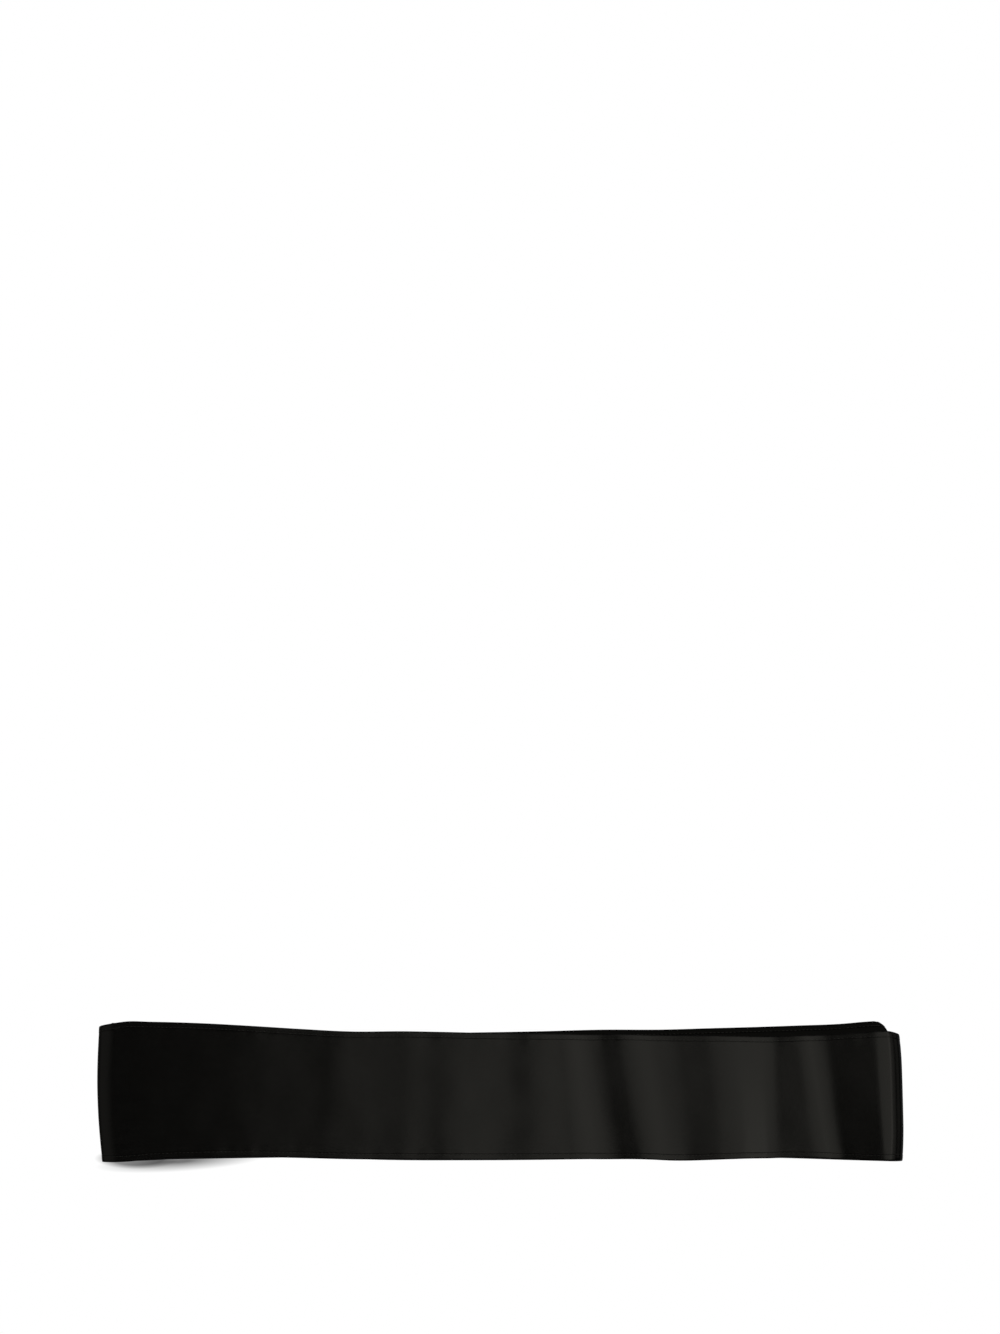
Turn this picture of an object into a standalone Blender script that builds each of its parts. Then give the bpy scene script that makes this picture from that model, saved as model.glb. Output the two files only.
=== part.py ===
"""A satin sash, folded in half twice and laid flat.

One long narrow strip lies as four runs on each other. From the top down they are the top run,
the second run, the third run and the bottom run. The top run turns under the stack at the right
and becomes the bottom run. At the left it turns under itself and becomes the second run, which
turns back at the right, inside the first turn, and becomes the third run. Both cut ends lie
hidden at the left.

Metres, +Z up. X runs along the sash, Y points to its back edge, and the stack rests on Z = 0.
"""

from collections import namedtuple
import math

import bpy
import numpy as np

# The cloth
CLOTH = 0.0010
HEM_WIDTH = 0.0034
HEM_RISE = 0.0004
EDGE_ROUND = 0.0003
LAYER_GAP = 0.0003
STRIP_WIDTH = 0.080

# Where hidden seams part the runs
LEFT_SEAM = -0.2220
THIRD_RUN_SEAM = 0.2220
BOTTOM_RUN_SEAM = 0.2150

# Heights of the upper faces of the runs where they lie flat
BOTTOM_LEVEL = CLOTH
THIRD_LEVEL = BOTTOM_LEVEL + LAYER_GAP + CLOTH
SECOND_LEVEL = THIRD_LEVEL + LAYER_GAP + CLOTH
TOP_LEVEL = SECOND_LEVEL + HEM_RISE + LAYER_GAP + CLOTH

# The edges of each run in plan, a row for each place along X
Edge = namedtuple("Edge", "x front back")

TOP_EDGES = (
    Edge(x=-0.2484, front=-0.0434, back=0.0410),
    Edge(x=-0.2400, front=-0.0436, back=0.0412),
    Edge(x=-0.2224, front=-0.0432, back=0.0405),
    Edge(x=-0.1854, front=-0.0426, back=0.0396),
    Edge(x=-0.1496, front=-0.0422, back=0.0390),
    Edge(x=-0.1052, front=-0.0429, back=0.0381),
    Edge(x=-0.0620, front=-0.0436, back=0.0374),
    Edge(x=-0.0126, front=-0.0439, back=0.0368),
    Edge(x=0.0367, front=-0.0436, back=0.0362),
    Edge(x=0.0737, front=-0.0431, back=0.0361),
    Edge(x=0.1083, front=-0.0441, back=0.0355),
    Edge(x=0.1416, front=-0.0436, back=0.0348),
    Edge(x=0.1749, front=-0.0423, back=0.0348),
    Edge(x=0.2033, front=-0.0433, back=0.0356),
    Edge(x=0.2218, front=-0.0445, back=0.0363),
    Edge(x=0.2329, front=-0.0453, back=0.0367),
    Edge(x=0.2403, front=-0.0454, back=0.0368),
    Edge(x=0.2484, front=-0.0450, back=0.0355),
)

SECOND_EDGES = (
    Edge(x=-0.2484, front=-0.0446, back=0.0375),
    Edge(x=-0.2212, front=-0.0439, back=0.0375),
    Edge(x=-0.1854, front=-0.0424, back=0.0376),
    Edge(x=-0.1237, front=-0.0419, back=0.0373),
    Edge(x=-0.0620, front=-0.0419, back=0.0373),
    Edge(x=-0.0126, front=-0.0419, back=0.0379),
    Edge(x=0.0244, front=-0.0413, back=0.0386),
    Edge(x=0.0614, front=-0.0406, back=0.0396),
    Edge(x=0.1021, front=-0.0403, back=0.0397),
    Edge(x=0.1280, front=-0.0400, back=0.0405),
    Edge(x=0.1595, front=-0.0393, back=0.0414),
    Edge(x=0.1873, front=-0.0384, back=0.0424),
    Edge(x=0.2126, front=-0.0375, back=0.0431),
    Edge(x=0.2224, front=-0.0365, back=0.0436),
    Edge(x=0.2391, front=-0.0360, back=0.0446),
)

THIRD_EDGES = (
    Edge(x=-0.2360, front=-0.0430, back=0.0362),
    Edge(x=-0.1200, front=-0.0412, back=0.0362),
    Edge(x=0.0000, front=-0.0408, back=0.0370),
    Edge(x=0.1200, front=-0.0398, back=0.0395),
    Edge(x=0.2391, front=-0.0362, back=0.0436),
)

BOTTOM_EDGES = (
    Edge(x=-0.2391, front=-0.0357, back=0.0453),
    Edge(x=-0.2163, front=-0.0357, back=0.0450),
    Edge(x=-0.1755, front=-0.0367, back=0.0440),
    Edge(x=-0.1546, front=-0.0376, back=0.0429),
    Edge(x=-0.1274, front=-0.0395, back=0.0410),
    Edge(x=-0.1052, front=-0.0411, back=0.0394),
    Edge(x=-0.0836, front=-0.0421, back=0.0384),
    Edge(x=-0.0126, front=-0.0427, back=0.0374),
    Edge(x=0.0737, front=-0.0418, back=0.0370),
    Edge(x=0.1700, front=-0.0412, back=0.0366),
    Edge(x=0.2218, front=-0.0428, back=0.0362),
    Edge(x=0.2484, front=-0.0436, back=0.0361),
)

# The crests and troughs of a run, in turn, as heights above its level at the two edges.
# lean is how much further right a line lies at the back edge than at the front edge.
# steps is how many sections reach from this line to the next.
Ripple = namedtuple("Ripple", "x lean front back steps")

TOP_RIPPLES = (
    Ripple(x=-0.2380, lean=-0.0015, front=0.0040, back=0.0044, steps=10),
    Ripple(x=-0.1138, lean=0.0000, front=0.0009, back=0.0007, steps=3),
    Ripple(x=-0.1033, lean=0.0000, front=0.0012, back=0.0010, steps=4),
    Ripple(x=-0.0706, lean=0.0000, front=0.0004, back=0.0003, steps=3),
    Ripple(x=-0.0608, lean=0.0010, front=0.0007, back=0.0005, steps=3),
    Ripple(x=-0.0447, lean=0.0010, front=0.0003, back=0.0003, steps=3),
    Ripple(x=-0.0336, lean=0.0000, front=0.0006, back=0.0005, steps=4),
    Ripple(x=0.0034, lean=-0.0010, front=0.0000, back=0.0001, steps=4),
    Ripple(x=0.0244, lean=-0.0030, front=0.0008, back=0.0006, steps=5),
    Ripple(x=0.0632, lean=-0.0140, front=0.0000, back=0.0004, steps=5),
    Ripple(x=0.0824, lean=-0.0170, front=0.0030, back=0.0016, steps=5),
    Ripple(x=0.1064, lean=-0.0100, front=0.0002, back=0.0004, steps=5),
    Ripple(x=0.1330, lean=-0.0020, front=0.0019, back=0.0014, steps=5),
    Ripple(x=0.1675, lean=0.0010, front=0.0000, back=0.0002, steps=4),
    Ripple(x=0.1866, lean=-0.0090, front=0.0016, back=0.0011, steps=4),
    Ripple(x=0.2015, lean=-0.0080, front=0.0004, back=0.0006, steps=5),
    Ripple(x=0.2304, lean=-0.0040, front=0.0052, back=0.0050, steps=0),
)

SECOND_RIPPLES = (
    Ripple(x=-0.2400, lean=0.0000, front=0.0013, back=0.0010, steps=6),
    Ripple(x=-0.1500, lean=0.0000, front=0.0000, back=0.0000, steps=22),
    Ripple(x=0.1900, lean=0.0000, front=0.0000, back=0.0000, steps=6),
    Ripple(x=0.2300, lean=0.0000, front=0.0015, back=0.0015, steps=0),
)

# The plan line of a turn or a cut end: x at the middle of the strip, how much further right it
# lies at the back edge than at the front edge, and how far right its two corners are drawn.
# A turn starts to round at its reach before that line.
Turn = namedtuple("Turn", "x lean corners power reach")
CutEnd = namedtuple("CutEnd", "x lean corners power")

LEFT_TURN = Turn(x=-0.2486, lean=-0.0015, corners=0.0018, power=3, reach=0.0075)
OUTER_TURN = Turn(x=0.2482, lean=-0.0026, corners=-0.0018, power=4, reach=0.0150)
INNER_TURN = Turn(x=0.2391, lean=0.0000, corners=-0.0049, power=8, reach=0.0028)
THIRD_CUT_END = CutEnd(x=-0.2360, lean=-0.0010, corners=0.0004, power=8)
BOTTOM_CUT_END = CutEnd(x=-0.2388, lean=-0.0020, corners=0.0006, power=8)

# How many sections reach round a turn, past it to its seam, and along a hidden run. A turn is
# round at a fullness of 2 and boxy above it.
TURN_STEPS = 12
TURN_FULLNESS = 2.3
SEAM_STEPS = 2
SLAB_STEPS = 30

# The core that holds the two hidden runs together, set back from their edges
CORE_SETBACK = 0.0040
CORE_LEFT = -0.2320
CORE_RIGHT = 0.2080

# Edges sharper than this stay sharp in the shading
SHARP_ANGLE = math.radians(40)

# Places across the strip: how far in from the nearer edge, and how far the face stands out
Across = namedtuple("Across", "inset rise")

FACE_PROFILE = (
    Across(inset=0.0, rise=-EDGE_ROUND),
    Across(inset=EDGE_ROUND, rise=HEM_RISE),
    Across(inset=HEM_WIDTH - HEM_RISE, rise=HEM_RISE),
    Across(inset=HEM_WIDTH + HEM_RISE, rise=0.0),
    Across(inset=STRIP_WIDTH / 8, rise=0.0),
    Across(inset=STRIP_WIDTH / 4, rise=0.0),
    Across(inset=STRIP_WIDTH / 2, rise=0.0),
)

INSIDE_PROFILE = (
    Across(inset=0.0, rise=-EDGE_ROUND),
    Across(inset=EDGE_ROUND * 2, rise=0.0),
    Across(inset=STRIP_WIDTH / 8, rise=0.0),
    Across(inset=STRIP_WIDTH / 4, rise=0.0),
    Across(inset=STRIP_WIDTH / 2, rise=0.0),
)


def clear_scene():
    """Removes every object of the start-up scene."""
    for obj in list(bpy.data.objects):
        bpy.data.objects.remove(obj)


def satin(name, color, roughness):
    """A plain cloth material with the sash's colour and gloss."""
    material = bpy.data.materials.new(name)
    material.use_nodes = True
    shader = material.node_tree.nodes["Principled BSDF"]
    shader.inputs["Base Color"].default_value = (*color, 1.0)
    shader.inputs["Roughness"].default_value = roughness
    shader.inputs["Metallic"].default_value = 0.0
    return material


def across_places(profile):
    """(place, rise) pairs from the front edge to the back edge. place runs from -1 to 1."""
    front = [(2 * row.inset / STRIP_WIDTH - 1, row.rise) for row in profile]
    back = [(-place, rise) for place, rise in reversed(front[:-1])]
    return front + back


def curve_through(x, knots, values):
    """The value at x of a smooth curve through the knots."""
    knots, values = np.asarray(knots), np.asarray(values)
    slopes = np.gradient(values, knots)
    i = int(np.clip(np.searchsorted(knots, x) - 1, 0, len(knots) - 2))
    span = knots[i + 1] - knots[i]
    u = min(max((x - knots[i]) / span, 0.0), 1.0)
    start = (1 + 2 * u) * (1 - u) ** 2 * values[i] + u * (1 - u) ** 2 * span * slopes[i]
    end = u * u * (3 - 2 * u) * values[i + 1] - u * u * (1 - u) * span * slopes[i + 1]
    return start + end


def edge_y(edges, x, place):
    """Y of a place across a run, at x. place is -1 at the front edge and 1 at the back edge."""
    knots = [row.x for row in edges]
    front = curve_through(x, knots, [row.front for row in edges])
    back = curve_through(x, knots, [row.back for row in edges])
    return front + (back - front) * (place + 1) / 2


def end_x(line, place):
    """X of a turn or a cut end at a place across the strip."""
    return line.x + line.corners * abs(place) ** line.power + line.lean * place / 2


def ripple_x(ripple, place):
    """X of a crest or trough at a place across the strip."""
    return ripple.x + ripple.lean * place / 2


def ripple_rise(ripple, place):
    """Height of a crest or trough over its run's level, at a place across the strip."""
    return ripple.front + (ripple.back - ripple.front) * (place + 1) / 2


def ease(u):
    """A soft step from 0 to 1, level at both ends."""
    return (1 - math.cos(math.pi * u)) / 2


def rippled_line(ripples, level, place):
    """(x, z) pairs of a run's upper face, through all its crests and troughs."""
    line = []
    for here, there in zip(ripples, ripples[1:]):
        for step in range(here.steps):
            u = step / here.steps
            x = ripple_x(here, place) * (1 - u) + ripple_x(there, place) * u
            rise = ripple_rise(here, place) * (1 - ease(u)) + ripple_rise(there, place) * ease(u)
            line.append((x, level + rise))
    last = ripples[-1]
    line.append((ripple_x(last, place), level + ripple_rise(last, place)))
    return line


def height_on(ripples, level, place, x):
    """Height of a run's upper face at x."""
    line = rippled_line(ripples, level, place)
    return float(np.interp(x, [point[0] for point in line], [point[1] for point in line]))


def turn_line(turn, place, high, low):
    """(x, z, progress) round a turn from the height high to the height low, as a full half ellipse."""
    nose_x = end_x(turn, place)
    reach = math.copysign(turn.reach, nose_x)
    middle, half = (high + low) / 2, (high - low) / 2
    line = []
    for step in range(TURN_STEPS + 1):
        angle = math.pi * step / TURN_STEPS
        out = abs(math.sin(angle)) ** (2 / TURN_FULLNESS)
        up = math.copysign(abs(math.cos(angle)) ** (2 / TURN_FULLNESS), math.cos(angle))
        line.append((nose_x - reach + reach * out, middle + half * up, step / TURN_STEPS))
    return line


def seam_line(turn, place, seam_x, height):
    """(x, z, progress) along the hidden stretch past a turn, to the seam where the next run starts."""
    nose_x = end_x(turn, place)
    start_x = nose_x - math.copysign(turn.reach, nose_x)
    steps = [start_x + (seam_x - start_x) * step / SEAM_STEPS for step in range(1, SEAM_STEPS + 1)]
    return [(x, height(x), 1.0) for x in steps]


def top_run_line(place):
    """(x, y, z, hem share) along the outer face of the top run, from the left seam to the right one."""
    top = rippled_line(TOP_RIPPLES, TOP_LEVEL, place)

    def second_underside(x):
        return height_on(SECOND_RIPPLES, SECOND_LEVEL, place, x) - CLOTH

    left = turn_line(LEFT_TURN, place, top[0][1], second_underside(top[0][0]))
    left += seam_line(LEFT_TURN, place, LEFT_SEAM, second_underside)
    right = turn_line(OUTER_TURN, place, top[-1][1], 0.0)
    right += seam_line(OUTER_TURN, place, BOTTOM_RUN_SEAM, lambda x: 0.0)
    line = []
    for edges, stretch in (
        (SECOND_EDGES, reversed(left)),
        (None, [(x, z, 0.0) for x, z in top]),
        (BOTTOM_EDGES, right),
    ):
        for x, z, turned in stretch:
            y = edge_y(TOP_EDGES, x, place)
            if edges:
                y += (edge_y(edges, x, place) - y) * ease(turned)
            line.append((x, y, z, 1 - turned))
    return line


def second_run_line(place):
    """(x, y, z, hem share) along the outer face of the second run, from the left seam to the third run."""
    run_start = LEFT_SEAM + LAYER_GAP
    run = [(run_start, height_on(SECOND_RIPPLES, SECOND_LEVEL, place, run_start))]
    run += [point for point in rippled_line(SECOND_RIPPLES, SECOND_LEVEL, place) if point[0] > run_start]
    third_underside = THIRD_LEVEL - CLOTH
    turn = turn_line(INNER_TURN, place, run[-1][1], third_underside)
    turn += seam_line(INNER_TURN, place, THIRD_RUN_SEAM, lambda x: third_underside)
    line = [(x, edge_y(SECOND_EDGES, x, place), z, 1.0) for x, z in run]
    for x, z, turned in turn:
        y = edge_y(SECOND_EDGES, x, place)
        y += (edge_y(THIRD_EDGES, x, place) - y) * ease(turned)
        line.append((x, y, z, 1 - turned))
    return line


def offset_points(line, distance):
    """The points of a line moved out from its face by distance, square to it in the XZ plane."""
    points = np.array([row[:3] for row in line])
    along = np.gradient(points, axis=0)
    length = np.hypot(along[:, 0], along[:, 2])
    points[:, 0] += -along[:, 2] / length * distance
    points[:, 2] += along[:, 0] / length * distance
    return points


def wall_rings(run_line):
    """Closed rings of points round the wall of a run. Its face has hems and its inside is plain."""
    columns = []
    for place, rise in across_places(FACE_PROFILE):
        line = run_line(place)
        hem_share = np.array([row[3] for row in line])
        lift = rise * hem_share if rise > 0 else np.full(len(line), rise)
        columns.append(offset_points(line, lift))
    for place, rise in reversed(across_places(INSIDE_PROFILE)):
        columns.append(offset_points(run_line(place), -CLOTH - rise))
    return np.stack(columns, axis=1)


def slab_rings(edges, level, cut_end, seam_x):
    """Closed rings round a hidden run that lies flat, with its long edges rounded."""
    rings = []
    low, high = level - CLOTH, level
    corners = (
        (-1, EDGE_ROUND, low),
        (1, -EDGE_ROUND, low),
        (1, 0.0, low + EDGE_ROUND),
        (1, 0.0, high - EDGE_ROUND),
        (1, -EDGE_ROUND, high),
        (-1, EDGE_ROUND, high),
        (-1, 0.0, high - EDGE_ROUND),
        (-1, 0.0, low + EDGE_ROUND),
    )
    for step in range(SLAB_STEPS + 1):
        ring = []
        for place, inset, z in corners:
            start = end_x(cut_end, place)
            x = start + (seam_x - start) * step / SLAB_STEPS
            ring.append((x, edge_y(edges, x, place) + inset, z))
        rings.append(ring)
    return np.array(rings)


def core_rings():
    """Closed rings round the core between the third run and the bottom run."""
    rings = []
    low, high = BOTTOM_LEVEL - CLOTH / 2, THIRD_LEVEL - CLOTH / 2
    for step in range(SLAB_STEPS + 1):
        x = CORE_LEFT + (CORE_RIGHT - CORE_LEFT) * step / SLAB_STEPS
        front = max(edge_y(run, x, -1) for run in (THIRD_EDGES, BOTTOM_EDGES)) + CORE_SETBACK
        back = min(edge_y(run, x, 1) for run in (THIRD_EDGES, BOTTOM_EDGES)) - CORE_SETBACK
        rings.append([(x, front, low), (x, back, low), (x, back, high), (x, front, high)])
    return np.array(rings)


def lofted(name, rings, material):
    """One closed object through the rings, capped at both ends."""
    ring_count, ring_size = rings.shape[:2]
    faces = []
    for ring in range(ring_count - 1):
        for corner in range(ring_size):
            following = (corner + 1) % ring_size
            here, there = ring * ring_size, (ring + 1) * ring_size
            faces.append((here + corner, here + following, there + following, there + corner))
    faces.append(tuple(reversed(range(ring_size))))
    faces.append(tuple(range((ring_count - 1) * ring_size, ring_count * ring_size)))
    mesh = bpy.data.meshes.new(name)
    mesh.from_pydata(rings.reshape(-1, 3).tolist(), [], faces)
    obj = bpy.data.objects.new(name, mesh)
    bpy.context.scene.collection.objects.link(obj)
    obj.data.materials.append(material)
    return obj


def face_outwards(obj):
    """Turns every face of a closed object outwards, and shades it smooth but for its sharp edges."""
    bpy.context.view_layer.objects.active = obj
    obj.select_set(True)
    bpy.ops.object.mode_set(mode="EDIT")
    bpy.ops.mesh.select_all(action="SELECT")
    bpy.ops.mesh.normals_make_consistent(inside=False)
    bpy.ops.object.mode_set(mode="OBJECT")
    obj.select_set(False)
    obj.data.shade_smooth()
    obj.data.set_sharp_from_angle(angle=SHARP_ANGLE)


def joined_to(obj, helper):
    """Joins a hidden helper to an object with a Boolean union."""
    helper.hide_render = True
    helper.display_type = "WIRE"
    union = obj.modifiers.new("with_" + helper.name, "BOOLEAN")
    union.operation = "UNION"
    union.solver = "EXACT"
    union.object = helper


def hidden_runs(material):
    """The third and the bottom run as one solid, which shows two layers round its edges."""
    bottom = slab_rings(BOTTOM_EDGES, BOTTOM_LEVEL, BOTTOM_CUT_END, BOTTOM_RUN_SEAM - LAYER_GAP)
    third = slab_rings(THIRD_EDGES, THIRD_LEVEL, THIRD_CUT_END, THIRD_RUN_SEAM - LAYER_GAP)
    whole = lofted("hidden_runs", bottom, material)
    helpers = [
        lofted("third_run_helper", third, material),
        lofted("core_helper", core_rings(), material),
    ]
    face_outwards(whole)
    for helper in reversed(helpers):
        face_outwards(helper)
        joined_to(whole, helper)


def main():
    """Builds the sash."""
    clear_scene()
    face = satin("satin_face", color=(0.012, 0.012, 0.011), roughness=0.35)
    back = satin("satin_back", color=(0.008, 0.008, 0.008), roughness=0.60)
    face_outwards(lofted("top_run", wall_rings(top_run_line), face))
    face_outwards(lofted("second_run", wall_rings(second_run_line), back))
    hidden_runs(back)


main()
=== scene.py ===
"""The looks of a black satin sash, folded in half twice and laid flat.

The sash is one long strip of satin with a narrow stitched hem all round. It lies as four runs on
each other, joined by three turns. Followed from the cut end at the floor, the strip goes right as
the bottom run, up round the outer turn, left as the top run, down round the left turn, right as the
second run, down round the inner turn, and left as the third run to its other cut end.

Metres, +Z up. X runs along the sash, Y points to its back edge, and the sash rests on Z = 0.
A place across the strip is -1 at the front edge and 1 at the back edge.
"""

from __future__ import annotations

import logging
import math
from dataclasses import dataclass
from enum import Enum

import bpy
import numpy as np
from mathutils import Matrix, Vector, noise

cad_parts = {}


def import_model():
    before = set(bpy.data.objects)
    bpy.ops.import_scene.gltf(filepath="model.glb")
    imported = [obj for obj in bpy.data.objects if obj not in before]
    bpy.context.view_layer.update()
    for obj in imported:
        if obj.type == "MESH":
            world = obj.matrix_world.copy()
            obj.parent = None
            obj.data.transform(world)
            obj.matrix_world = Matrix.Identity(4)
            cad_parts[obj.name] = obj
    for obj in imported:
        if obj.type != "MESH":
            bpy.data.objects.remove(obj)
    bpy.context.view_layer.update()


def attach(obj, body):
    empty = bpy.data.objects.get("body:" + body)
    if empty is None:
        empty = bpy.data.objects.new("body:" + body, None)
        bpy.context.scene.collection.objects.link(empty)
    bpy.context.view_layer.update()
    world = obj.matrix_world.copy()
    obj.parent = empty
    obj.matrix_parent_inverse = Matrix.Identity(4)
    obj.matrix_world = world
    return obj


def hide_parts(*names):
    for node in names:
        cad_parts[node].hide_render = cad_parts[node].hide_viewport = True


LOG = logging.getLogger("satin_sash")
BODY = "root"
WEAVE_MAP = "Weave"


class Side(Enum):
    """The two sides of the cloth, as signs along the right side's normal."""

    RIGHT = 1
    WRONG = -1


class Long(Enum):
    """The two long edges of the strip, as places across it."""

    FRONT = -1
    BACK = 1


@dataclass(frozen=True)
class Edge:
    """Where the two long edges of a run lie in plan, at one place along X."""

    x: float
    front: float
    back: float


@dataclass(frozen=True)
class Ripple:
    """A crest or trough across a run: its height over the run's level at the two long edges.

    lean is how much further right the line lies at the back edge than at the front edge. softness is
    the share of each stretch beside it that rounds it off.
    """

    x: float
    lean: float
    front: float
    back: float
    softness: float = 0.22


@dataclass(frozen=True)
class EndLine:
    """The plan line of a turn's nose or of a cut end.

    x is at the middle of the strip, lean is how much further right the line lies at the back edge
    than at the front edge, and corners is how far right its two corners are drawn. The higher its
    power, the nearer to the corners the line bends. A turn starts to round at its reach before the
    line, and is the more pointed the less its fullness.
    """

    x: float
    lean: float
    corners: float
    power: float
    reach: float = 0.0
    fullness: float = 2.3

    def at(self, place: np.ndarray) -> np.ndarray:
        """X of the line at places across the strip."""
        return self.x + self.corners * np.abs(place) ** self.power + self.lean * place / 2


@dataclass(frozen=True)
class HemPoint:
    """The cloth at one inset from its edge: how far its right side stands off the middle line of
    the wall, and how thick it is."""

    inset: float
    face: float
    thickness: float


def smooth_curve(x: np.ndarray, knots: np.ndarray, values: np.ndarray) -> np.ndarray:
    """Reads a smooth curve through the knots.

    Args:
        x: Where to read the curve.
        knots: The places where its values are given, ascending.
        values: The values there.

    Returns:
        The curve's value at each x.
    """
    slopes = np.gradient(values, knots)
    i = np.clip(np.searchsorted(knots, x) - 1, 0, len(knots) - 2)
    span = knots[i + 1] - knots[i]
    u = np.clip((x - knots[i]) / span, 0.0, 1.0)
    start = (1 + 2 * u) * (1 - u) ** 2 * values[i] + u * (1 - u) ** 2 * span * slopes[i]
    end = u * u * (3 - 2 * u) * values[i + 1] - u * u * (1 - u) * span * slopes[i + 1]
    return start + end


def ease(u: np.ndarray) -> np.ndarray:
    """A soft step from 0 to 1, level at both ends."""
    return (1 - np.cos(np.pi * u)) / 2


def ramp(u: np.ndarray, start: np.ndarray, end: np.ndarray) -> np.ndarray:
    """A straight ramp from 0 to 1, with its two ends rounded off to level.

    Args:
        u: How far along the ramp, from 0 to 1.
        start: The share of the ramp that its rounded start takes.
        end: The share of the ramp that its rounded end takes.

    Returns:
        The height at each u.
    """
    steep = 1 / (1 - (start + end) / 2)
    low = steep * u * u / (2 * start)
    high = 1 - steep * (1 - u) ** 2 / (2 * end)
    return np.where(u < start, low, np.where(u > 1 - end, high, steep * (u - start / 2)))


@dataclass(frozen=True)
class Run:
    """One of the four runs: its level, its edges in plan, and its crests and troughs."""

    level: float
    edges: tuple[Edge, ...]
    ripples: tuple[Ripple, ...] = ()

    def y(self, x: np.ndarray, place: np.ndarray) -> np.ndarray:
        """Y of a place across the run, at x."""
        knots = np.array([edge.x for edge in self.edges])
        front = smooth_curve(x, knots, np.array([edge.front for edge in self.edges]))
        back = smooth_curve(x, knots, np.array([edge.back for edge in self.edges]))
        return front + (back - front) * (place + 1) / 2

    def relief(self, along: np.ndarray, place: np.ndarray) -> tuple[np.ndarray, np.ndarray]:
        """Lays the run's crests and troughs over it.

        Args:
            along: X at the middle of the strip, for each station along the run.
            place: Places across the strip.

        Returns:
            X and height over the level, for each station and place.
        """
        knots = np.array([ripple.x for ripple in self.ripples])
        i = np.clip(np.searchsorted(knots, along) - 1, 0, len(knots) - 2)
        u = np.clip((along - knots[i]) / (knots[i + 1] - knots[i]), 0.0, 1.0)
        lean = np.array([ripple.lean for ripple in self.ripples])
        front = np.array([ripple.front for ripple in self.ripples])
        back = np.array([ripple.back for ripple in self.ripples])
        softness = np.array([ripple.softness for ripple in self.ripples])
        leaning = lean[i] * (1 - u) + lean[i + 1] * u
        climbed = ramp(u, softness[i], softness[i + 1])
        front_rise = front[i] + (front[i + 1] - front[i]) * climbed
        back_rise = back[i] + (back[i + 1] - back[i]) * climbed
        share = (place[None, :] + 1) / 2
        x = along[:, None] + leaning[:, None] * place[None, :] / 2
        return x, front_rise[:, None] * (1 - share) + back_rise[:, None] * share


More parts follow.
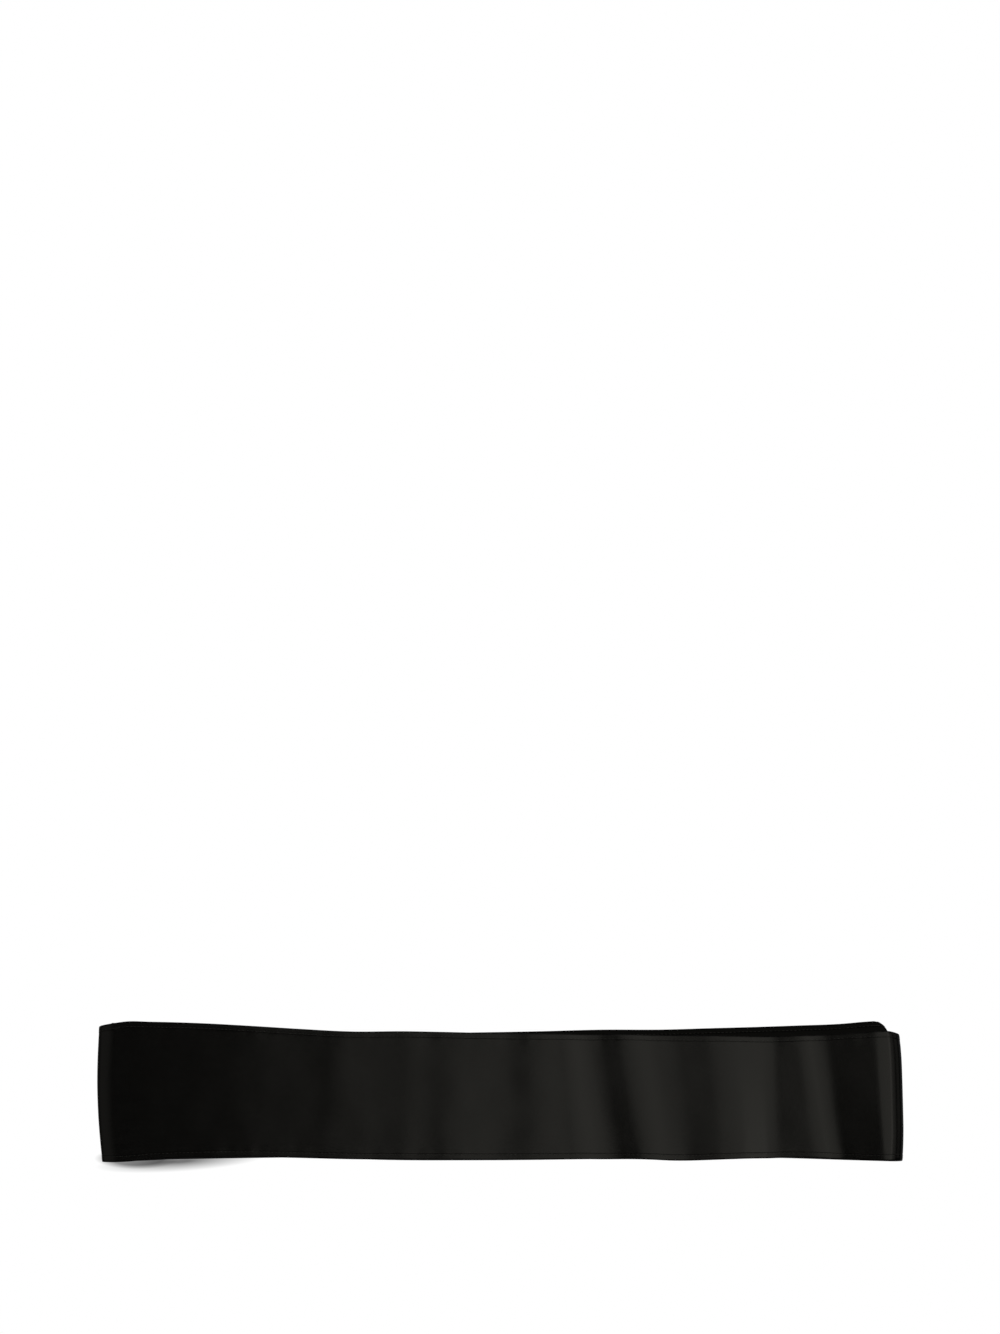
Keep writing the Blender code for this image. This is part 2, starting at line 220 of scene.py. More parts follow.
@dataclass(frozen=True)
class Fold:
    """The route of the strip through its four runs and three turns, as the middle line of its wall.

    hem_wall is about the cloth's thickness at a hem, and a turn's nose lies half of it inside the
    turn's line. The pitches are how far apart the stations lie along the strip, on runs that show and
    on hidden ones. hem_insets are the stations next to a cut end, at the insets of the cloth's hem.
    """

    hem_wall: float = 0.0010
    bottom: Run = Run(
        level=0.0005,
        edges=(
            Edge(x=-0.2391, front=-0.0357, back=0.0446),
            Edge(x=-0.2163, front=-0.0357, back=0.0443),
            Edge(x=-0.1755, front=-0.0367, back=0.0431),
            Edge(x=-0.1546, front=-0.0376, back=0.0419),
            Edge(x=-0.1274, front=-0.0395, back=0.0401),
            Edge(x=-0.1052, front=-0.0411, back=0.0387),
            Edge(x=-0.0836, front=-0.0421, back=0.0384),
            Edge(x=-0.0126, front=-0.0427, back=0.0374),
            Edge(x=0.0737, front=-0.0418, back=0.0370),
            Edge(x=0.1700, front=-0.0412, back=0.0366),
            Edge(x=0.2218, front=-0.0428, back=0.0362),
            Edge(x=0.2484, front=-0.0436, back=0.0361),
        ),
    )
    top: Run = Run(
        level=0.0048,
        edges=(
            Edge(x=-0.2484, front=-0.0455, back=0.0419),
            Edge(x=-0.2400, front=-0.0456, back=0.0426),
            Edge(x=-0.2310, front=-0.0453, back=0.0438),
            Edge(x=-0.2163, front=-0.0440, back=0.0436),
            Edge(x=-0.1854, front=-0.0426, back=0.0427),
            Edge(x=-0.1546, front=-0.0423, back=0.0410),
            Edge(x=-0.1237, front=-0.0428, back=0.0391),
            Edge(x=-0.0929, front=-0.0436, back=0.0375),
            Edge(x=-0.0620, front=-0.0438, back=0.0377),
            Edge(x=-0.0126, front=-0.0439, back=0.0368),
            Edge(x=0.0367, front=-0.0436, back=0.0362),
            Edge(x=0.0737, front=-0.0431, back=0.0361),
            Edge(x=0.1083, front=-0.0441, back=0.0355),
            Edge(x=0.1416, front=-0.0436, back=0.0348),
            Edge(x=0.1749, front=-0.0423, back=0.0348),
            Edge(x=0.2033, front=-0.0433, back=0.0356),
            Edge(x=0.2218, front=-0.0445, back=0.0363),
            Edge(x=0.2329, front=-0.0453, back=0.0367),
            Edge(x=0.2403, front=-0.0454, back=0.0368),
            Edge(x=0.2484, front=-0.0450, back=0.0355),
        ),
        ripples=(
            Ripple(x=-0.2350, lean=-0.0030, front=0.0021, back=0.0023),
            Ripple(x=-0.1650, lean=-0.0058, front=0.0022, back=0.0023, softness=0.40),
            Ripple(x=-0.1138, lean=0.0015, front=0.0020, back=0.0020, softness=0.35),
            Ripple(x=-0.1033, lean=0.0014, front=0.00204, back=0.00204, softness=0.35),
            Ripple(x=-0.0706, lean=0.0010, front=0.0018, back=0.0017, softness=0.35),
            Ripple(x=-0.0608, lean=0.0018, front=0.0018, back=0.0017, softness=0.35),
            Ripple(x=-0.0447, lean=0.0016, front=0.0017, back=0.0016, softness=0.35),
            Ripple(x=-0.0336, lean=0.0005, front=0.0018, back=0.0016, softness=0.35),
            Ripple(x=0.0034, lean=-0.0010, front=0.0012, back=0.0013, softness=0.35),
            Ripple(x=0.0244, lean=-0.0033, front=0.0015, back=0.0016, softness=0.35),
            Ripple(x=0.0420, lean=-0.0076, front=0.0013, back=0.0014, softness=0.35),
            Ripple(x=0.0605, lean=-0.0123, front=-0.0003, back=0.0001, softness=0.36),
            Ripple(x=0.0860, lean=-0.0132, front=0.0011, back=0.0010, softness=0.36),
            Ripple(x=0.1010, lean=-0.0124, front=0.0002, back=0.0001, softness=0.35),
            Ripple(x=0.1430, lean=-0.0079, front=0.0020, back=0.0018, softness=0.30),
            Ripple(x=0.1665, lean=-0.0002, front=-0.0003, back=0.0004, softness=0.18),
            Ripple(x=0.1938, lean=-0.0121, front=0.0019, back=0.0018, softness=0.25),
            Ripple(x=0.1985, lean=-0.0117, front=0.0016, back=0.0015, softness=0.24),
            Ripple(x=0.2368, lean=-0.0036, front=0.0057, back=0.0056, softness=0.10),
        ),
    )
    second: Run = Run(
        level=0.0031,
        edges=(
            Edge(x=-0.2484, front=-0.0444, back=0.0400),
            Edge(x=-0.2212, front=-0.0438, back=0.0395),
            Edge(x=-0.1854, front=-0.0418, back=0.0376),
            Edge(x=-0.1237, front=-0.0416, back=0.0373),
            Edge(x=-0.0620, front=-0.0419, back=0.0373),
            Edge(x=-0.0126, front=-0.0419, back=0.0379),
            Edge(x=0.0244, front=-0.0413, back=0.0386),
            Edge(x=0.0614, front=-0.0406, back=0.0396),
            Edge(x=0.1021, front=-0.0403, back=0.0397),
            Edge(x=0.1280, front=-0.0400, back=0.0405),
            Edge(x=0.1595, front=-0.0393, back=0.0414),
            Edge(x=0.1873, front=-0.0384, back=0.0424),
            Edge(x=0.2126, front=-0.0375, back=0.0433),
            Edge(x=0.2224, front=-0.0365, back=0.0441),
            Edge(x=0.2391, front=-0.0360, back=0.0452),
        ),
        ripples=(
            Ripple(x=-0.2350, lean=-0.0030, front=0.0008, back=0.0006),
            Ripple(x=-0.1500, lean=0.0000, front=0.0000, back=0.0000),
            Ripple(x=0.1900, lean=0.0000, front=0.0000, back=0.0000),
            Ripple(x=0.2290, lean=0.0000, front=0.0015, back=0.0015),
        ),
    )
    third: Run = Run(
        level=0.0018,
        edges=(
            Edge(x=-0.2360, front=-0.0430, back=0.0362),
            Edge(x=-0.1200, front=-0.0412, back=0.0362),
            Edge(x=0.0000, front=-0.0408, back=0.0370),
            Edge(x=0.1200, front=-0.0398, back=0.0395),
            Edge(x=0.2391, front=-0.0362, back=0.0436),
        ),
    )
    left_turn: EndLine = EndLine(
        x=-0.2488, lean=-0.0030, corners=0.0023, power=2, reach=0.0107, fullness=1.8
    )
    outer_turn: EndLine = EndLine(
        x=0.2483, lean=-0.0010, corners=-0.0016, power=4, reach=0.0083, fullness=1.7
    )
    inner_turn: EndLine = EndLine(x=0.2416, lean=0.0000, corners=-0.0085, power=9, reach=0.0028)
    third_cut_end: EndLine = EndLine(x=-0.2360, lean=-0.0010, corners=0.0004, power=8)
    bottom_cut_end: EndLine = EndLine(x=-0.2425, lean=-0.0010, corners=0.0026, power=8)
    station_pitch: float = 0.0018
    hidden_pitch: float = 0.0060
    turn_stations: int = 32
    hem_insets: tuple[float, ...] = (
        0.0, 0.00012, 0.00045, 0.0014, 0.0025, 0.0031, 0.0034, 0.0036, 0.0038, 0.0040, 0.0046, 0.006
    )

    def flat(self, run: Run, cut_end: EndLine, turn: EndLine, place: np.ndarray) -> np.ndarray:
        """Lays a hidden run level, from its cut end to the start of its turn.

        Args:
            run: The run.
            cut_end: Where the cloth ends.
            turn: The turn at its other end.
            place: Places across the strip.

        Returns:
            Points of the middle line, for each station and place.
        """
        start, stop = cut_end.at(place), self.round_from(turn, place)
        steps = int(abs(turn.x - cut_end.x) / self.hidden_pitch)
        even = np.linspace(self.hem_insets[-1], float(np.min(stop - start)), steps)[1:]
        insets = np.concatenate([self.hem_insets, even])[:, None]
        share = ease(insets / insets[-1])
        x = (start + insets) * (1 - share) + (stop - insets[-1] + insets) * share
        return np.stack([x, run.y(x, place), np.full_like(x, run.level)], axis=-1)

    def round_from(self, turn: EndLine, place: np.ndarray) -> np.ndarray:
        """X where a turn starts to round."""
        return turn.at(place) - math.copysign(turn.reach, turn.x)

    def rounded(
        self, turn: EndLine, place: np.ndarray, heights: tuple[np.ndarray, np.ndarray], runs: tuple[Run, Run]
    ) -> np.ndarray:
        """Rounds a turn from one run to the next, as half of an oval.

        Args:
            turn: The turn, whose line is the outer side of the wall.
            place: Places across the strip.
            heights: The heights at which the turn starts and ends, for each place.
            runs: The runs that it joins.

        Returns:
            Points of the middle line, for each station and place.
        """
        progress = np.linspace(0.0, 1.0, self.turn_stations)[:, None]
        angle = np.pi * progress
        out = np.sin(angle) ** (2 / turn.fullness)
        up = np.sign(np.cos(angle)) * np.abs(np.cos(angle)) ** (2 / turn.fullness)
        reach = math.copysign(turn.reach - self.hem_wall / 2, turn.x)
        x = self.round_from(turn, place) + reach * out
        z = (heights[0] + heights[1]) / 2 + (heights[0] - heights[1]) / 2 * up
        share = ease(progress)
        y = runs[0].y(x, place) * (1 - share) + runs[1].y(x, place) * share
        return np.stack([x, y, z], axis=-1)

    def laid(self, run: Run, place: np.ndarray) -> np.ndarray:
        """Lays a run with its crests and troughs, from left to right.

        Args:
            run: The run.
            place: Places across the strip.

        Returns:
            Points of the middle line, for each station and place.
        """
        first, last = run.ripples[0].x, run.ripples[-1].x
        along = np.linspace(first, last, int((last - first) / self.station_pitch))
        x, rise = run.relief(along, place)
        return np.stack([x, run.y(x, place), run.level + rise], axis=-1)

    def middle(self, place: np.ndarray) -> np.ndarray:
        """Follows the whole strip.

        Args:
            place: Places across the strip.

        Returns:
            Points of the middle line from the bottom cut end to the third run's cut end, for each
            station and place.
        """
        bottom = self.flat(self.bottom, self.bottom_cut_end, self.outer_turn, place)
        top = self.laid(self.top, place)[::-1]
        second = self.laid(self.second, place)
        third = self.flat(self.third, self.third_cut_end, self.inner_turn, place)[::-1]
        outer = self.rounded(
            self.outer_turn, place, (bottom[-1, :, 2], top[0, :, 2]), (self.bottom, self.top)
        )
        left = self.rounded(self.left_turn, place, (top[-1, :, 2], second[0, :, 2]), (self.top, self.second))
        inner = self.rounded(
            self.inner_turn, place, (second[-1, :, 2], third[0, :, 2]), (self.second, self.third)
        )
        return np.concatenate([bottom[:-1], outer, top[1:], left, second[1:], inner, third[1:]])


@dataclass(frozen=True)
class SatinFinish:
    """A satin surface: its colour, how it shines, and the depth of its weave.

    anisotropy draws its reflections out, and shine_turn is how far that direction is turned from the
    strip's own, as a share of a whole turn. The weave is a fine grain as long as the floats and as
    wide as the warp, which is a bump, and broader slubs, which change its colour and roughness a
    little.
    """

    name: str
    color: tuple[float, float, float]
    roughness: float
    shine: float
    anisotropy: float
    thread_depth: float
    shine_turn: float = 0.25
    warp_pitch: float = 0.00028
    float_length: float = 0.0040
    slub_length: float = 0.0300
    slub_pitch: float = 0.0020
    streak_detail: float = 2.0
    color_change: float = 0.25
    roughness_change: float = 0.01

    def material(self) -> bpy.types.Material:
        """Makes the material, whose weave follows the strip through its own map."""
        material = bpy.data.materials.new(self.name)
        material.use_nodes = True
        nodes, links = material.node_tree.nodes, material.node_tree.links
        shader = nodes["Principled BSDF"]
        shader.inputs["Specular IOR Level"].default_value = self.shine
        shader.inputs["Anisotropic"].default_value = self.anisotropy
        shader.inputs["Anisotropic Rotation"].default_value = self.shine_turn
        weave = nodes.new("ShaderNodeUVMap")
        weave.uv_map = WEAVE_MAP
        grain = self.streaks(material, weave, self.float_length, self.warp_pitch)
        slub = self.streaks(material, weave, self.slub_length, self.slub_pitch)

        shade = nodes.new("ShaderNodeMapRange")
        shade.inputs["To Min"].default_value = 1 - self.color_change
        shade.inputs["To Max"].default_value = 1 + self.color_change
        links.new(slub, shade.inputs["Value"])
        tint = nodes.new("ShaderNodeVectorMath")
        tint.operation = "SCALE"
        tint.inputs[0].default_value = self.color
        links.new(shade.outputs["Result"], tint.inputs["Scale"])
        links.new(tint.outputs["Vector"], shader.inputs["Base Color"])

        gloss = nodes.new("ShaderNodeMapRange")
        gloss.inputs["To Min"].default_value = self.roughness - self.roughness_change
        gloss.inputs["To Max"].default_value = self.roughness + self.roughness_change
        links.new(slub, gloss.inputs["Value"])
        links.new(gloss.outputs["Result"], shader.inputs["Roughness"])

        bump = nodes.new("ShaderNodeBump")
        bump.inputs["Distance"].default_value = self.thread_depth
        links.new(grain, bump.inputs["Height"])
        links.new(bump.outputs["Normal"], shader.inputs["Normal"])

        tangent = nodes.new("ShaderNodeTangent")
        tangent.direction_type = "UV_MAP"
        tangent.uv_map = WEAVE_MAP
        links.new(tangent.outputs["Tangent"], shader.inputs["Tangent"])
        return material

    def streaks(
        self, material: bpy.types.Material, weave: bpy.types.Node, length: float, pitch: float
    ) -> bpy.types.NodeSocket:
        """Adds uneven streaks along the strip.

        Args:
            material: The material to add to.
            weave: The node that reads the strip's map, in metres along and across.
            length: How long a streak is.
            pitch: How far apart streaks lie across the strip.

        Returns:
            The streaks' height, from 0 to 1.
        """
        nodes, links = material.node_tree.nodes, material.node_tree.links
        stretch = nodes.new("ShaderNodeMapping")
        stretch.inputs["Scale"].default_value = (1 / length, 1 / pitch, 1)
        links.new(weave.outputs["UV"], stretch.inputs["Vector"])
        streak = nodes.new("ShaderNodeTexNoise")
        streak.noise_dimensions = "2D"
        streak.inputs["Scale"].default_value = 1.0
        streak.inputs["Detail"].default_value = self.streak_detail
        links.new(stretch.outputs["Vector"], streak.inputs["Vector"])
        return streak.outputs["Fac"]


@dataclass(frozen=True)
class ThreadFinish:
    """The sewing thread, black with a faint shine."""

    name: str = "sewing_thread"
    color: tuple[float, float, float] = (0.002, 0.002, 0.002)
    roughness: float = 0.30
    shine: float = 0.50
    twist_scale: float = 125.0
    twist_depth: float = 0.00004

    def material(self) -> bpy.types.Material:
        """Makes the material, with soft slanting ridges for the twist of the thread."""
        material = bpy.data.materials.new(self.name)
        material.use_nodes = True
        nodes, links = material.node_tree.nodes, material.node_tree.links
        shader = nodes["Principled BSDF"]
        shader.inputs["Base Color"].default_value = (*self.color, 1.0)
        shader.inputs["Roughness"].default_value = self.roughness
        shader.inputs["Specular IOR Level"].default_value = self.shine
        place = nodes.new("ShaderNodeTexCoord")
        twist = nodes.new("ShaderNodeTexWave")
        twist.wave_type = "BANDS"
        twist.bands_direction = "DIAGONAL"
        twist.inputs["Scale"].default_value = self.twist_scale
        links.new(place.outputs["Object"], twist.inputs["Vector"])
        bump = nodes.new("ShaderNodeBump")
        bump.inputs["Distance"].default_value = self.twist_depth
        links.new(twist.outputs["Fac"], bump.inputs["Height"])
        links.new(bump.outputs["Normal"], shader.inputs["Normal"])
        return material


SATIN_FACE = SatinFinish(
    name="black_satin_shining_side",
    color=(0.0010, 0.0010, 0.0009),
    roughness=0.22,
    shine=0.18,
    anisotropy=0.3,
    thread_depth=0.00002,
)
SATIN_BACK = SatinFinish(
    name="black_satin_dull_side",
    color=(0.0030, 0.0030, 0.0028),
    roughness=0.60,
    shine=0.07,
    anisotropy=0.0,
    thread_depth=0.00003,
)


@dataclass
class SashCloth:
    """The strip of satin itself, as one cloth wall with a hem all round.

    The hem is given as the cloth's section at insets from its edge, up to the middle of the strip. It
    puckers most at pucker_inset and fades out over pucker_spread to each side. The puckers and the
    cloth's unevenness are each read from a slice of their own through one noise.
    """

    name: str = "sash_cloth"
    width: float = 0.080
    hem: tuple[HemPoint, ...] = (
        HemPoint(inset=0.0, face=0.00010, thickness=0.00025),
        HemPoint(inset=0.00012, face=0.00036, thickness=0.00075),
        HemPoint(inset=0.00045, face=0.00049, thickness=0.00100),
        HemPoint(inset=0.0014, face=0.00054, thickness=0.00106),
        HemPoint(inset=0.0025, face=0.00052, thickness=0.00104),
        HemPoint(inset=0.0031, face=0.00040, thickness=0.00090),
        HemPoint(inset=0.0034, face=0.00049, thickness=0.00093),
        HemPoint(inset=0.0036, face=0.00046, thickness=0.00082),
        HemPoint(inset=0.0038, face=0.00040, thickness=0.00070),
        HemPoint(inset=0.0040, face=0.00035, thickness=0.00060),
        HemPoint(inset=0.0046, face=0.00032, thickness=0.00050),
        HemPoint(inset=0.0060, face=0.00031, thickness=0.00045),
        HemPoint(inset=0.0090, face=0.00028, thickness=0.00045),
        HemPoint(inset=0.0140, face=0.00024, thickness=0.00045),
        HemPoint(inset=0.0400, face=0.00022, thickness=0.00045),
    )
    middle_columns: int = 19
    pucker: float = 0.00006
    pucker_length: float = 0.007
    pucker_inset: float = 0.0040
    pucker_spread: float = 0.0030
    pucker_slice: float = 2.0
    unevenness: float = 0.00008
    uneven_length: float = 0.019
    uneven_slice: float = 1.0
    fold: Fold = Fold()

    def __post_init__(self) -> None:
        """Works out the columns of the strip and its surface."""
        wide = [point.inset for point in self.hem[:-1]]
        middle = np.linspace(wide[-1], self.width - wide[-1], self.middle_columns + 2)[1:-1]
        insets = np.concatenate([wide, middle, self.width - np.array(wide[::-1])])
        self.places = 1 - 2 * insets / self.width
        self.middle = self.fold.middle(self.places)
        steps = np.linalg.norm(np.diff(self.middle[:, len(insets) // 2], axis=0), axis=-1)
        self.along = np.concatenate([[0.0], np.cumsum(steps)])
        self.across = insets
        from_edge = np.minimum(insets, self.width - insets)
        from_end = np.minimum(self.along, self.along[-1] - self.along)
        self.inset = np.minimum(from_edge[None, :], from_end[:, None])
        self.normal = self.right_side_normal()
        self.face = self.middle + self.normal * self.face_height()[..., None]
        self.thickness = self.read_hem("thickness")

    @property
    def length(self) -> float:
        """The strip's flat length."""
        return float(self.along[-1])

    def read_hem(self, what: str) -> np.ndarray:
        """A value of the hem table, for each station and column."""
        insets = [point.inset for point in self.hem]
        return np.interp(self.inset, insets, [getattr(point, what) for point in self.hem])

    def right_side_normal(self) -> np.ndarray:
        """Unit normals of the middle line's surface, out of the cloth's right side."""
        along = np.gradient(self.middle, axis=0)
        across = np.gradient(self.middle, axis=1)
        normal = np.cross(along, across)
        return normal / np.linalg.norm(normal, axis=-1, keepdims=True)

    def face_height(self) -> np.ndarray:
        """Works out how far the right side stands off the middle line, with the hem's puckers and the
        cloth's small unevenness.

        Returns:
            The height, for each station and column.
        """
        height = self.read_hem("face")
        puckered = np.exp(-((self.inset - self.pucker_inset) / self.pucker_spread) ** 2)
        for i, along in enumerate(self.along):
            for j, across in enumerate(self.across):
                waved = Vector((along / self.uneven_length, across / self.uneven_length, self.uneven_slice))
                tucked = Vector((along / self.pucker_length, round(across / self.width), self.pucker_slice))
                wave = self.unevenness * noise.noise(waved)
                tuck = self.pucker * noise.noise(tucked)
                height[i, j] += wave + tuck * puckered[i, j]
        return height

    def build(self) -> bpy.types.Object:
        """Builds the strip from a flat grid, shaped by the fold and given its thickness.

        Returns:
            The finished cloth.
        """
        stations, columns = self.face.shape[:2]
        bpy.ops.object.select_all(action="DESELECT")
        bpy.ops.mesh.primitive_grid_add(x_subdivisions=stations - 1, y_subdivisions=columns - 1, size=1.0)
        cloth = bpy.context.object
        cloth.name = cloth.data.name = self.name
        points = self.face.transpose(1, 0, 2).reshape(-1, 3)
        cloth.data.vertices.foreach_set("co", points.ravel())
        self.map_weave(cloth, stations)
        self.thicken(cloth)
        bpy.ops.object.shade_smooth()
        return cloth

    def map_weave(self, cloth: bpy.types.Object, stations: int) -> None:
        """Gives the strip its own map, in metres along and across.

        Args:
            cloth: The strip, as a grid.
            stations: How many points the grid has along the strip.
        """
        layer = cloth.data.uv_layers[0]
        layer.name = WEAVE_MAP
        corners = np.empty(len(cloth.data.loops), dtype=np.int32)
        cloth.data.loops.foreach_get("vertex_index", corners)
        flat = np.stack([self.along[corners % stations], self.across[corners // stations]], axis=-1)
        layer.uv.foreach_set("vector", flat.astype(np.float32).ravel())

    def thicken(self, cloth: bpy.types.Object) -> None:
        """Gives the strip its thickness, which is largest at the hems."""
        thickest = float(self.thickness.max())
        group = cloth.vertex_groups.new(name="thickness")
        shares = (self.thickness / thickest).T.ravel()
        for index, share in enumerate(shares):
            group.add([index], float(share), "REPLACE")
        cloth.data.materials.append(SATIN_FACE.material())
        cloth.data.materials.append(SATIN_BACK.material())
        wall = cloth.modifiers.new("wall", "SOLIDIFY")
        wall.thickness = thickest
        wall.offset = -1.0
        wall.vertex_group = group.name
        wall.material_offset = 1
        wall.use_quality_normals = True
        bpy.ops.object.modifier_apply(modifier=wall.name)
        cloth.vertex_groups.clear()


@dataclass
class HemStitching:
    """The stitches that hold the long hems, where they can be seen.

    A stitch's middle is raised a little off the cloth, and its ends dip into it. A stitch can be seen
    where the Z of its side's normal is over turned_under on the right side, so that it also follows
    the turns, and over facing_up on the wrong side.
    """

    cloth: SashCloth
    name: str = "hem_stitches"
    inset: float = 0.0031
    pitch: float = 0.0025
    length: float = 0.0019
    thread_width: float = 0.00030
    thread_height: float = 0.00016
    raised: float = 0.00002
    dip: float = 0.00004
    turned_under: float = -0.5
    facing_up: float = 0.5
    ring_sides: int = 6
    ring_count: int = 6

    def build(self) -> bpy.types.Object:
        """Builds every stitch as a copy of one, joined in one mesh.

        Returns:
            The finished stitches.
        """
        points, faces = self.one_stitch()
        frames = self.seam(Side.RIGHT, Long.FRONT) + self.seam(Side.RIGHT, Long.BACK)
        frames += self.seam(Side.WRONG, Long.BACK)
        made_points = np.concatenate([centre + points @ axes for centre, axes in frames])
        count = len(points)
        made_faces = [[index + n * count for index in face] for n in range(len(frames)) for face in faces]
        mesh = bpy.data.meshes.new(self.name)
        mesh.from_pydata(made_points.tolist(), [], made_faces)
        stitches = bpy.data.objects.new(self.name, mesh)
        bpy.context.scene.collection.objects.link(stitches)
        mesh.materials.append(ThreadFinish().material())
        mesh.shade_smooth()
        LOG.info("%s: %d stitches", self.name, len(frames))
        return stitches

    def one_stitch(self) -> tuple[np.ndarray, list[list[int]]]:
        """Models one stitch at the origin, along X with its top at +Z.

        Returns:
            Its points and its faces.
        """
        bpy.ops.object.select_all(action="DESELECT")
        bpy.ops.mesh.primitive_uv_sphere_add(
            segments=self.ring_sides,
            ring_count=self.ring_count,
            radius=0.5,
            rotation=(0.0, math.pi / 2, 0.0),
            scale=(self.thread_height, self.thread_width, self.length),
        )
        stitch = bpy.context.object
        bpy.ops.object.transform_apply(location=True, rotation=True, scale=True)
        points = np.array([vertex.co for vertex in stitch.data.vertices])
        points[:, 2] -= self.dip * (2 * points[:, 0] / self.length) ** 2
        faces = [list(face.vertices) for face in stitch.data.polygons]
        bpy.data.objects.remove(stitch)
        return points, faces

    def seam(self, side: Side, edge: Long) -> list[tuple[np.ndarray, np.ndarray]]:
        """Places the stitches of one seam, on the stretches that show.

        Args:
            side: The side of the cloth.
            edge: The long edge that the seam follows.

        Returns:
            The centre and the axes of each stitch.
        """
        cloth = self.cloth
        across = self.inset if edge is Long.BACK else cloth.width - self.inset
        column = int(np.argmin(np.abs(cloth.across - across)))
        depth = 0.0 if side is Side.RIGHT else cloth.thickness[:, column, None]
        outward = cloth.normal[:, column] * side.value
        line = cloth.face[:, column] - cloth.normal[:, column] * depth + outward * self.raised
        frames = []
        for at in np.arange(self.pitch, cloth.length - self.pitch, self.pitch):
            centre = np.array([np.interp(at, cloth.along, line[:, axis]) for axis in range(3)])
            i = int(np.searchsorted(cloth.along, at))
            if not self.shows(side, i, centre):
                continue
            forward = line[i] - line[i - 1]
            forward /= np.linalg.norm(forward)
            up = outward[i]
            axes = np.stack([forward, np.cross(up, forward), up])
            frames.append((centre, axes))
        return frames

    def shows(self, side: Side, station: int, centre: np.ndarray) -> bool:
        """Tells whether a stitch lies where it can be seen: on the right side along the top run and
        outside the turns, and on the wrong side along the second run.

        Args:
            side: The side of the cloth.
            station: The station of the strip that it lies at.
            centre: Its middle.

        Returns:
            Whether it can be seen.
        """
        up = self.cloth.normal[station, 0, 2] * side.value
        if side is Side.RIGHT:
            return up > self.turned_under and centre[2] > self.cloth.fold.second.level
        return up > self.facing_up and centre[2] > self.cloth.fold.third.level


@dataclass(frozen=True)
class Softbox:
    """A rectangular light: where it hangs, what it points at, its size and its power."""

    name: str
    place: tuple[float, float, float]
    target: tuple[float, float, float]
    size: tuple[float, float]
    power: float
    color: tuple[float, float, float] = (1.0, 0.97, 0.87)

    def build(self) -> None:
        """Hangs the light."""
        bpy.ops.object.light_add(type="AREA", location=self.place)
        lamp = bpy.context.object
        lamp.name = self.name
        lamp.data.shape = "RECTANGLE"
        lamp.data.size, lamp.data.size_y = self.size
        lamp.data.energy = self.power
        lamp.data.color = self.color
        lamp.visible_camera = False
        aim = Vector(self.target) - Vector(self.place)
        lamp.rotation_euler = aim.to_track_quat("-Z", "Y").to_euler()


@dataclass(frozen=True)
class SoftShadow:
    """An oval soft shadow painted into the floor's glow: its middle, its half sizes, how far it is turned,
    the share of the way in over which it fades, and the share of the light that it takes."""

    place: tuple[float, float]
    size: tuple[float, float]
    turn: float
    fade: float
    depth: float

    def light_left(self, material: bpy.types.Material, place: bpy.types.NodeSocket) -> bpy.types.NodeSocket:
        """Paints the shadow into the floor's material, as a dimming of its glow.

        Args:
            material: The floor's material.
            place: The place on the floor.

        Returns:
            The share of the light that the shadow leaves.
        """
        nodes, links = material.node_tree.nodes, material.node_tree.links
        spot = nodes.new("ShaderNodeMapping")
        spot.vector_type = "TEXTURE"
        spot.inputs["Location"].default_value = (*self.place, 0.0)
        spot.inputs["Rotation"].default_value = (0.0, 0.0, self.turn)
        spot.inputs["Scale"].default_value = (*self.size, 1.0)
        links.new(place, spot.inputs["Vector"])
        inward = nodes.new("ShaderNodeTexGradient")
        inward.gradient_type = "SPHERICAL"
        links.new(spot.outputs["Vector"], inward.inputs["Vector"])
        left = nodes.new("ShaderNodeMapRange")
        left.inputs["From Max"].default_value = self.fade
        left.inputs["To Min"].default_value = 1.0
        left.inputs["To Max"].default_value = 1 - self.depth
        links.new(inward.outputs["Fac"], left.inputs["Value"])
        return left.outputs["Result"]


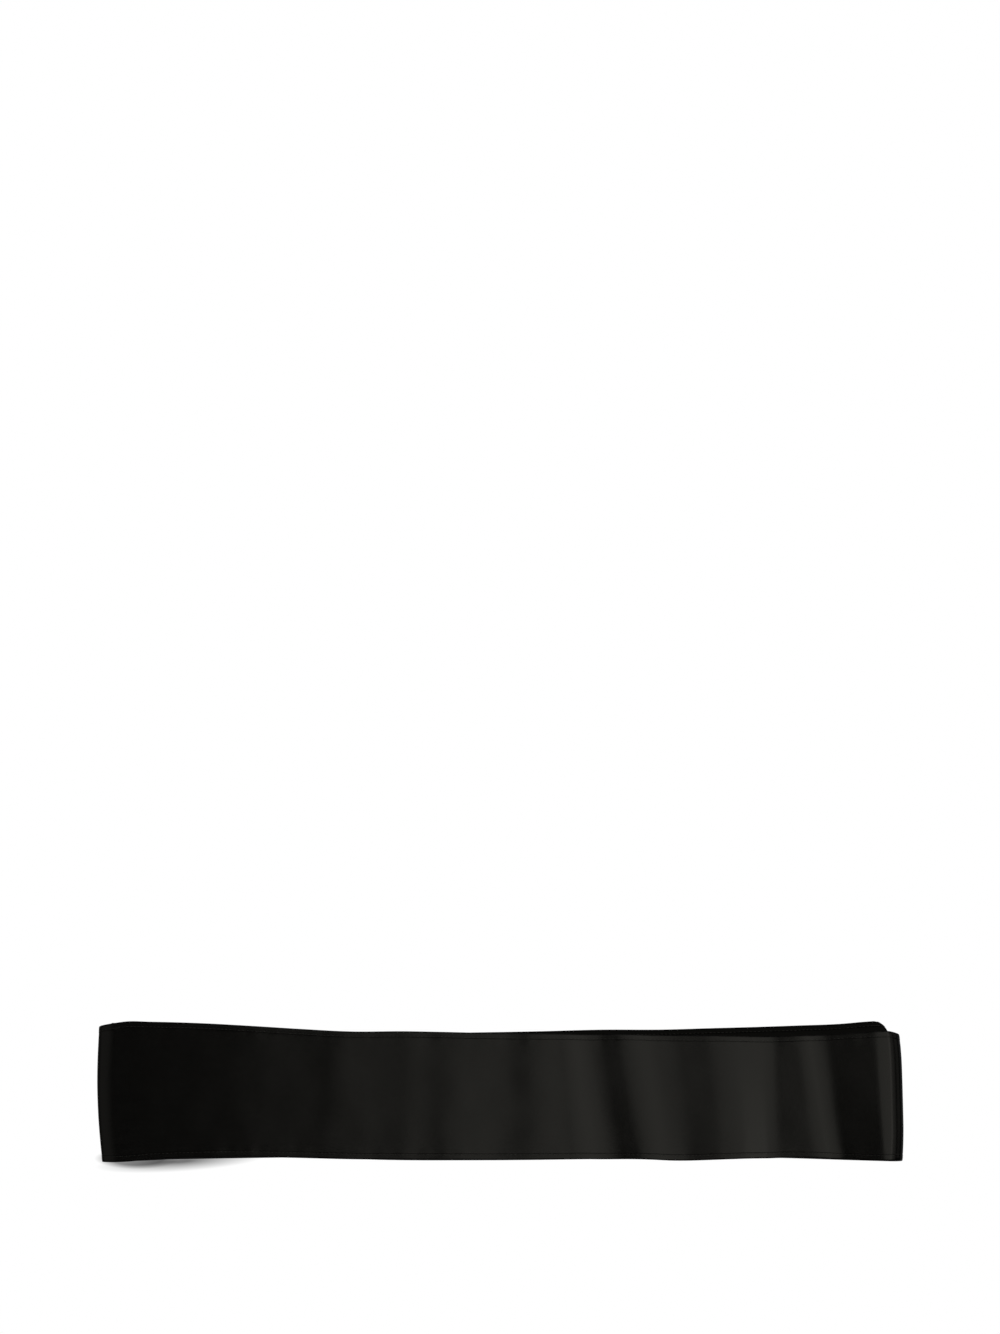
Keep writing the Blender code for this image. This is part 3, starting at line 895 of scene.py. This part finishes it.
@dataclass
class Studio:
    """The white floor, the lights and the camera.

    The camera sees the floor glow at 1, and the cloth sees it glow at mirrored_floor. The frame is in
    pixels and scale is the metres to a pixel. The camera looks down at the elevation and has
    sash_point at sash_pixel.
    """

    floor_size: float = 30.0
    floor_drop: float = 0.0002
    # painted shadows, which dim the floor's glow before the sash's left end
    shadows: tuple[SoftShadow, ...] = (
        SoftShadow(place=(-0.197, -0.0432), size=(0.0525, 0.0065), turn=0.07, fade=0.90, depth=0.82),
        SoftShadow(place=(-0.224, -0.0414), size=(0.0261, 0.0067), turn=0.0, fade=0.37, depth=0.67),
    )
    mirrored_floor: float = 0.3
    room_light: float = 0.030
    lights: tuple[Softbox, ...] = (
        Softbox("overhead", (0.117, 0.57, 1.97), (0.117, 0.57, 0.0), (0.396, 1.78), 3.03),
        Softbox("overhead_right", (0.492, 0.57, 1.97), (0.492, 0.57, 0.0), (0.354, 1.78), 2.80),
        Softbox("overhead_far_right", (0.876, 0.57, 1.97), (0.876, 0.57, 0.0), (0.414, 1.78), 4.8),
        Softbox("right_rim", (1.625, 0.57, 1.97), (1.625, 0.57, 0.0), (1.084, 1.78), 4.3),
        Softbox("rim", (-1.093, 0.57, 1.97), (-1.093, 0.57, 0.0), (1.122, 1.78), 2.93),
        Softbox("left", (-2.2, 0.9, 1.0), (0.0, 0.2, 0.0), (1.5, 1.0), 6.0),
        Softbox("right", (2.2, 1.1, 1.0), (0.0, 0.2, 0.0), (1.5, 1.0), 2.2),
        Softbox("front", (0.0, -2.4, 0.9), (0.0, 0.0, 0.0), (4.0, 1.2), 5.0),
    )
    frame_size: tuple[int, int] = (1000, 1334)
    lens: float = 250.0
    sensor: float = 36.0
    scale: float = 0.000617
    sash_pixel: tuple[float, float] = (500.5, 1096.4)
    sash_point: tuple[float, float, float] = (0.0, -0.0021, 0.0)
    elevation: float = math.radians(76.0)

    def build(self) -> None:
        """Sets the floor, the lights, the room and the camera."""
        self.lay_floor()
        for light in self.lights:
            light.build()
        self.light_room()
        self.place_camera()
        bpy.context.scene.view_settings.view_transform = "Standard"

    def lay_floor(self) -> None:
        """Lays the white floor, which glows, with a soft shadow painted into its glow before the sash's left
        end.
        """
        bpy.ops.mesh.primitive_plane_add(size=self.floor_size, location=(0.0, 0.0, -self.floor_drop))
        floor = bpy.context.object
        floor.name = "floor"
        material = bpy.data.materials.new("white_floor")
        material.use_nodes = True
        nodes, links = material.node_tree.nodes, material.node_tree.links
        shader = nodes["Principled BSDF"]
        shader.inputs["Base Color"].default_value = (0.0, 0.0, 0.0, 1.0)
        shader.inputs["Roughness"].default_value = 1.0
        shader.inputs["Specular IOR Level"].default_value = 0.0
        shader.inputs["Emission Color"].default_value = (1.0, 1.0, 1.0, 1.0)
        path = nodes.new("ShaderNodeLightPath")
        seen = nodes.new("ShaderNodeMapRange")
        seen.inputs["To Min"].default_value = self.mirrored_floor
        links.new(path.outputs["Is Camera Ray"], seen.inputs["Value"])
        place = nodes.new("ShaderNodeTexCoord")
        glow = seen.outputs["Result"]
        # each painted shadow dims the floor's glow
        for shadow in self.shadows:
            dimmed = nodes.new("ShaderNodeMath")
            dimmed.operation = "MULTIPLY"
            links.new(glow, dimmed.inputs[0])
            links.new(shadow.light_left(material, place.outputs["Object"]), dimmed.inputs[1])
            glow = dimmed.outputs["Value"]
        links.new(glow, shader.inputs["Emission Strength"])
        floor.data.materials.append(material)

    def light_room(self) -> None:
        """Lights the room: dim for the cloth, white where the camera sees past the floor."""
        world = bpy.data.worlds.new("studio_room")
        bpy.context.scene.world = world
        world.use_nodes = True
        nodes, links = world.node_tree.nodes, world.node_tree.links
        background = nodes["Background"]
        background.inputs["Color"].default_value = (1.0, 1.0, 1.0, 1.0)
        path = nodes.new("ShaderNodeLightPath")
        strength = nodes.new("ShaderNodeMapRange")
        strength.inputs["To Min"].default_value = self.room_light
        strength.inputs["To Max"].default_value = 1.0
        links.new(path.outputs["Is Camera Ray"], strength.inputs["Value"])
        links.new(strength.outputs["Result"], background.inputs["Strength"])

    def place_camera(self) -> None:
        """Places the camera so that the sash lies where the photograph has it, with no shift."""
        focal = self.lens / self.sensor * max(self.frame_size)
        below = math.atan((self.sash_pixel[1] - self.frame_size[1] / 2) / focal)
        distance = self.scale * focal / math.cos(below)
        back = Vector((0.0, -math.cos(self.elevation), math.sin(self.elevation)))
        beside = (self.sash_pixel[0] - self.frame_size[0] / 2) * self.scale
        place = Vector(self.sash_point) + back * distance - Vector((beside, 0.0, 0.0))
        tilt = math.pi / 2 - (self.elevation - below)
        bpy.ops.object.camera_add(location=place, rotation=(tilt, 0.0, 0.0))
        camera = bpy.context.object
        camera.data.lens = self.lens
        camera.data.sensor_width = self.sensor
        bpy.context.scene.camera = camera


def report(piece: bpy.types.Object) -> None:
    """Logs a finished piece with its number of faces."""
    LOG.info("%s: %d faces", piece.name, len(piece.data.polygons))


def main() -> None:
    """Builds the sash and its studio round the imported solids."""
    logging.basicConfig(level=logging.INFO, format="%(message)s")
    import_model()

    strip = SashCloth()
    cloth = strip.build()
    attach(cloth, BODY)
    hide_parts("top_run", "second_run", "hidden_runs")
    report(cloth)

    stitches = HemStitching(strip).build()
    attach(stitches, BODY)
    report(stitches)

    LOG.info("flat size: %.3f by %.3f m", strip.width, strip.length)

    Studio().build()


if __name__ == "__main__":
    main()
